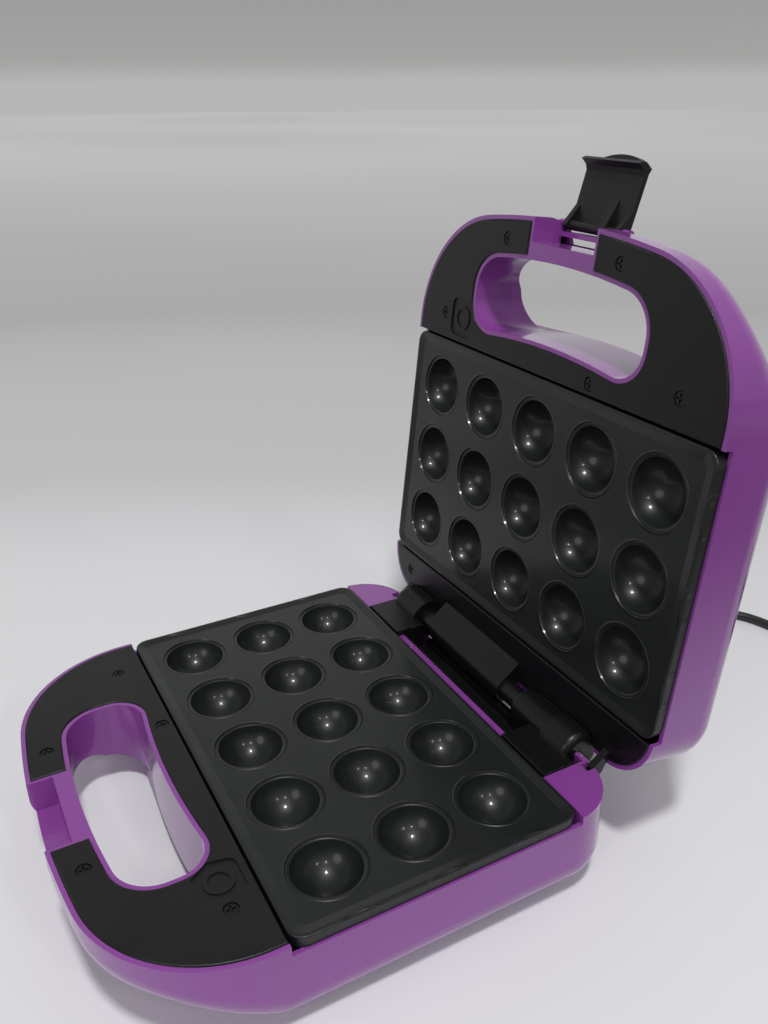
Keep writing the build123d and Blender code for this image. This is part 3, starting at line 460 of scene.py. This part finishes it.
def cord():
    """The whole cord as one smooth tube, from the strain relief to the plug."""
    line = bpy.data.curves.new("cord", "CURVE")
    line.dimensions = "3D"
    line.bevel_depth = cord_diameter / 2000
    line.bevel_resolution = 6
    line.resolution_u = 6
    line.use_fill_caps = True
    spline = line.splines.new("NURBS")
    points = cord_points()
    spline.points.add(len(points) - 1)
    for place, point in zip(spline.points, points):
        place.co = (*point, 1)
    spline.order_u = 3
    spline.use_endpoint_u = True
    spline.use_smooth = True
    piece = bpy.data.objects.new("cord", line)
    scene.collection.objects.link(piece)
    line.materials.append(cord_black)
    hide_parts("power_cord", "cord_coil")
    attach(piece, "base")


# Handle openings, in the source's millimetres: their rear edge bows a little into the opening, and the
# solids' edge bulges the other way. Each edge has a middle, an arc's radius and a corner's radius
opening_half_x = 61.5
front_end = -97.26
old_rear = {"y": -77.6, "radius": 245.0, "round": 12.5}
new_rear = {"y": -81.6, "radius": 360.0, "round": 14.0}

# What lies within the lining's reach of the edge moves with it, and the rest less and less. Deeper down
# the blend reaches further out
lining_reach = 2.6
blend_reach = 5.0
inner_reach = 1.0
lower_edge_depth = 8.0
lower_edge_reach = 14.0


def rear_edge(edge, way):
    """Centre of the rear edge's arc, its corner's centre, where the two arcs meet, and the corner's span.

    The way is 1 where the edge bulges out of the opening, and -1 where it bows into it.
    """
    middle = edge["y"] - way * edge["radius"]
    apart = edge["radius"] - way * edge["round"]
    corner_x = opening_half_x - edge["round"]
    rise = math.sqrt(apart ** 2 - corner_x ** 2)
    corner_y = middle + way * rise
    meet = corner_x * edge["radius"] / apart
    span = math.atan2(rise, way * corner_x)
    return middle, corner_x, corner_y, meet, span


def bowed(x, y, more):
    """Moves a point of the opening's rear wall, or of what follows it, onto the bowed edge."""
    side = math.copysign(1.0, x)
    x = abs(x)
    middle, corner_x, corner_y, meet, span = rear_edge(old_rear, 1)
    new_middle, new_x, new_y, new_meet, new_span = rear_edge(new_rear, -1)
    angle = math.atan2(y - corner_y, x - corner_x)
    if y < corner_y:
        out = x - opening_half_x
        share = min(1.0, max(0.0, (y - front_end) / (corner_y - front_end)))
        place = (x, y + (new_y - corner_y) * share)
    elif angle < span:
        out = math.hypot(x - corner_x, y - corner_y) - old_rear["round"]
        angle *= new_span / span
        reach = new_rear["round"] + out
        place = (new_x + reach * math.cos(angle), new_y + reach * math.sin(angle))
    else:
        out = math.hypot(x, y - middle) - old_rear["radius"]
        foot = old_rear["radius"] * x / math.hypot(x, y - middle) * new_meet / meet
        angle = math.asin(foot / new_rear["radius"])
        reach = new_rear["radius"] - out
        place = (reach * math.sin(angle), new_middle - reach * math.cos(angle))
    share = min(1.0, max(0.0, (blend_reach + more - out) / (blend_reach - lining_reach)))
    if out < -inner_reach:
        share = 0.0
    return side * (x + (place[0] - x) * share), y + (place[1] - y) * share


def reopened(name, body):
    """A copy of a casing or cover whose handle opening has the bowed edge, shaped with the lid closed."""
    mesh = nodes[name].data.copy()
    close = closing if body == "lid" else Matrix.Identity(4)
    back = close.inverted()
    for vertex in mesh.vertices:
        place = close @ vertex.co
        x, y = place.x * 1000, place.y * 1000 + middle_y
        deep = abs(place.z * 1000 + floor_z) > lower_edge_depth
        more = lower_edge_reach if deep else 0.0
        reach = blend_reach + more
        if abs(x) < opening_half_x + reach and front_end < y < old_rear["y"] + reach:
            x, y = bowed(x, y, more)
            vertex.co = back @ Vector((x / 1000, (y - middle_y) / 1000, place.z))
    piece = bpy.data.objects.new(name + "_shaped", mesh)
    scene.collection.objects.link(piece)
    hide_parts(name)
    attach(piece, body)


# Floor, in metres. Beside the object and in front of it, reflections and bounced light meet a painted
# shade:
# a dark floor colour that stands in for shade on the surfaces mirroring it. Far off the floor glows in
# the backdrop's tones
floor_radius = 12.0
floor_sides = 96
paper_white = (0.76, 0.765, 0.775)
# Painted shade: the dark colour that only reflections and bounced light see beside and in front of the
# object
reflected_shade_dark = (0.12, 0.115, 0.11)
reflected_shade_side = (0.17, 0.34)
reflected_shade_front = (0.24, 0.42)
front_way = (-0.48, -0.877, 0)
backdrop_way = (-0.878, 0.478, 0)
backdrop_start = (0.2, 0.42)
floor_end = (0.6, 1.4)
near_side = (0.1, 0.6)
near_side_dimming = -0.7
tone_start = 0.45
tone_span = 4.5
tone_drift = 0.4
# Painted shade: soft darker patches in the far floor's glow, with their height and base level
glow_shade_height = 0.16
glow_shade_base = 0.92
floor_tones = [
    (0.0, (0.6, 0.6, 0.61)),
    (0.05, (0.5, 0.5, 0.51)),
    (0.12, (0.48, 0.48, 0.485)),
    (0.2, 0.4),
    (0.4, 0.43),
    (0.8, 0.5),
]

# Backdrop: tones of the wall by height, of the room from the camera's side to the wall's, and of the
# room again by height
wall_tones = [
    (0.0, 0.47),
    (0.018, (0.37, 0.37, 0.365)),
    (0.07, (0.33, 0.335, 0.33)),
    (0.3, (0.42, 0.42, 0.43)),
    (1.0, (0.4, 0.4, 0.41)),
]
room_tones = [
    (0.0, (0.22, 0.22, 0.23)),
    (0.45, (0.36, 0.36, 0.37)),
    (0.75, (0.58, 0.58, 0.59)),
    (1.0, (0.66, 0.66, 0.67)),
]
height_tones = [(0.0, 1.0), (0.5, 0.95), (0.72, 0.5), (1.0, 0.6)]

# The point above the floor that the lamps face, in metres
lamp_aim = Vector((0, 0, 0.08))


def floor_material():
    shade = Shade("paper floor", paper_white, 0.75)
    distance = shade.length(shade.place)
    away = shade.along(backdrop_way)
    unseen = shade.math("SUBTRACT", 1.0, shade.seen())
    # Painted shade: beside and in front of the object the floor turns dark for reflections and bounced
    # light only
    beside = shade.smooth_step(shade.split(shade.place)["X"], *reflected_shade_side)
    before = shade.smooth_step(shade.along(front_way), *reflected_shade_front)
    reflected_shade = shade.math("MULTIPLY", shade.math("MAXIMUM", beside, before), unseen)
    shade.set("Base Color", shade.ramp(reflected_shade, [(0.0, paper_white), (1.0, reflected_shade_dark)]))
    spread = shade.math("MULTIPLY_ADD", shade.noise(scale=1.6, detail=1), tone_drift, distance)
    far = shade.math("DIVIDE", shade.math("SUBTRACT", spread, tone_start), tone_span)
    near = shade.smooth_step(shade.math("MULTIPLY", away, -1.0), *near_side)
    dim = shade.math("MULTIPLY_ADD", shade.math("MULTIPLY", near, unseen), near_side_dimming, 1.0)
    # Painted shade: soft darker patches that dim the far floor's glow
    glow_shade_patches = shade.noise(scale=0.45, detail=0)
    level = shade.math("MULTIPLY_ADD", glow_shade_patches, glow_shade_height, glow_shade_base)
    glow = shade.add("Emission")
    shade.feed(glow.inputs["Color"], shade.ramp(far, floor_tones))
    shade.feed(glow.inputs["Strength"], shade.math("MULTIPLY", dim, level))
    into_wall = shade.smooth_step(away, *backdrop_start)
    into_distance = shade.smooth_step(distance, *floor_end)
    mix = shade.add("MixShader")
    shade.feed(mix.inputs["Fac"], shade.math("MAXIMUM", into_wall, into_distance))
    shade.feed(mix.inputs[1], shade.surface.outputs["BSDF"])
    shade.feed(mix.inputs[2], glow.outputs["Emission"])
    shade.feed(shade.tree.nodes["Material Output"].inputs["Surface"], mix.outputs["Shader"])
    return shade.material


def floor():
    """A pale paper floor that fades into the backdrop's colour with distance."""
    mesh = bpy.data.meshes.new("floor")
    angles = [2 * math.pi * i / floor_sides for i in range(floor_sides)]
    rim = [(floor_radius * math.cos(angle), floor_radius * math.sin(angle), 0) for angle in angles]
    mesh.from_pydata(rim, [], [list(range(floor_sides))])
    piece = bpy.data.objects.new("floor", mesh)
    scene.collection.objects.link(piece)
    mesh.materials.append(floor_material())


def backdrop():
    """The room: a pale wall behind the object, and a darker side where the camera stands."""
    world = bpy.data.worlds.new("room")
    scene.world = world
    world.use_nodes = True
    room = Nodes(world.node_tree, "Generated")
    up = room.split(room.place)["Z"]
    side = room.math("MULTIPLY_ADD", room.along(backdrop_way), 0.5, 0.5)
    lit = room.ramp(side, room_tones)
    shaded = room.vectors("MULTIPLY", lit, room.ramp(up, height_tones))["Vector"]
    mix = room.add("Mix", data_type="RGBA")
    into = {socket.identifier: socket for socket in mix.inputs}
    out = {socket.identifier: socket for socket in mix.outputs}
    room.feed(into["Factor_Float"], room.seen())
    room.feed(into["A_Color"], shaded)
    room.feed(into["B_Color"], room.ramp(up, wall_tones))
    room.feed(room.tree.nodes["Background"].inputs["Color"], out["Result_Color"])


def lamp(name, way, distance, size, power):
    light = bpy.data.lights.new(name, "AREA")
    light.shape = "DISK"
    light.size = size
    light.energy = power
    piece = bpy.data.objects.new(name, light)
    way = Vector(way).normalized()
    piece.location = lamp_aim + way * distance
    piece.rotation_euler = way.to_track_quat("Z", "Y").to_euler()
    scene.collection.objects.link(piece)


camera()
cord()
for side in ("base", "lid"):
    reopened(side + "_casing", side)
    reopened(side + "_handle_cover", side)
floor()
backdrop()
lamp("ceiling lamp", way=(0.34, -0.12, 0.93), distance=2.2, size=0.26, power=26)
lamp("side lamp", way=(0.71, -0.28, 0.64), distance=2.4, size=0.2, power=5)
lamp("window", way=(0.78, 0.17, 0.6), distance=2.4, size=0.25, power=4)
lamp("far lamp", way=(0.45, -0.8, 0.43), distance=2.4, size=1.1, power=9)
